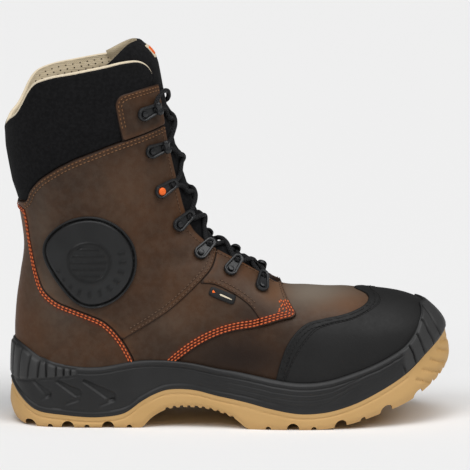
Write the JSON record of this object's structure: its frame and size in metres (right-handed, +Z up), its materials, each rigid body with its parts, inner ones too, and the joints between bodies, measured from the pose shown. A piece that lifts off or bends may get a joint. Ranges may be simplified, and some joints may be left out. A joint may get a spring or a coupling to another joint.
{
  "type": "safety boot",
  "caption": "High lace-up safety boot for the right foot: leather upper, padded cuff, round ankle guards, toe cap, and a lugged rubber sole with heel.",
  "frame": {"origin": "on the floor, under the middle of the boot's bounding box", "axes": "+X to the toe, +Y to the inner side of the foot, +Z up"},
  "size_m": [0.3079, 0.109, 0.2604],
  "materials": {
    "rubber": "matt honey rubber",
    "moulded": "satin moulded polyurethane",
    "leather": "oiled nubuck",
    "textile": "woven",
    "guard": "matt textured",
    "footbed": "felted",
    "hardware": "satin",
    "cord": "braided"
  },
  "bodies": {
    "root": {"outsole": "rubber", "midsole": "moulded", "insole": "footbed", "upper": "leather", "cuff": "textile", "tongue": "textile", "toe_cap": "guard", "toe_band": "guard", "heel_counter": "leather", "quarter_lateral": "leather", "quarter_medial": "leather", "hook_patch_lateral": "leather", "hook_patch_medial": "leather", "ankle_pad_lateral": "guard", "ankle_pad_medial": "guard", "loop_lateral_1": "hardware", "loop_lateral_2": "hardware", "loop_lateral_3": "hardware", "loop_lateral_4": "hardware", "loop_lateral_5": "hardware", "loop_lateral_6": "hardware", "loop_lateral_7": "hardware", "loop_medial_1": "hardware", "loop_medial_2": "hardware", "loop_medial_3": "hardware", "loop_medial_4": "hardware", "loop_medial_5": "hardware", "loop_medial_6": "hardware", "loop_medial_7": "hardware", "lace_cross_1": "cord", "lace_cross_2": "cord", "lace_cross_3": "cord", "lace_cross_4": "cord", "lace_cross_5": "cord", "lace_cross_6": "cord", "lace_bar": "cord"}
  },
  "joints": []
}
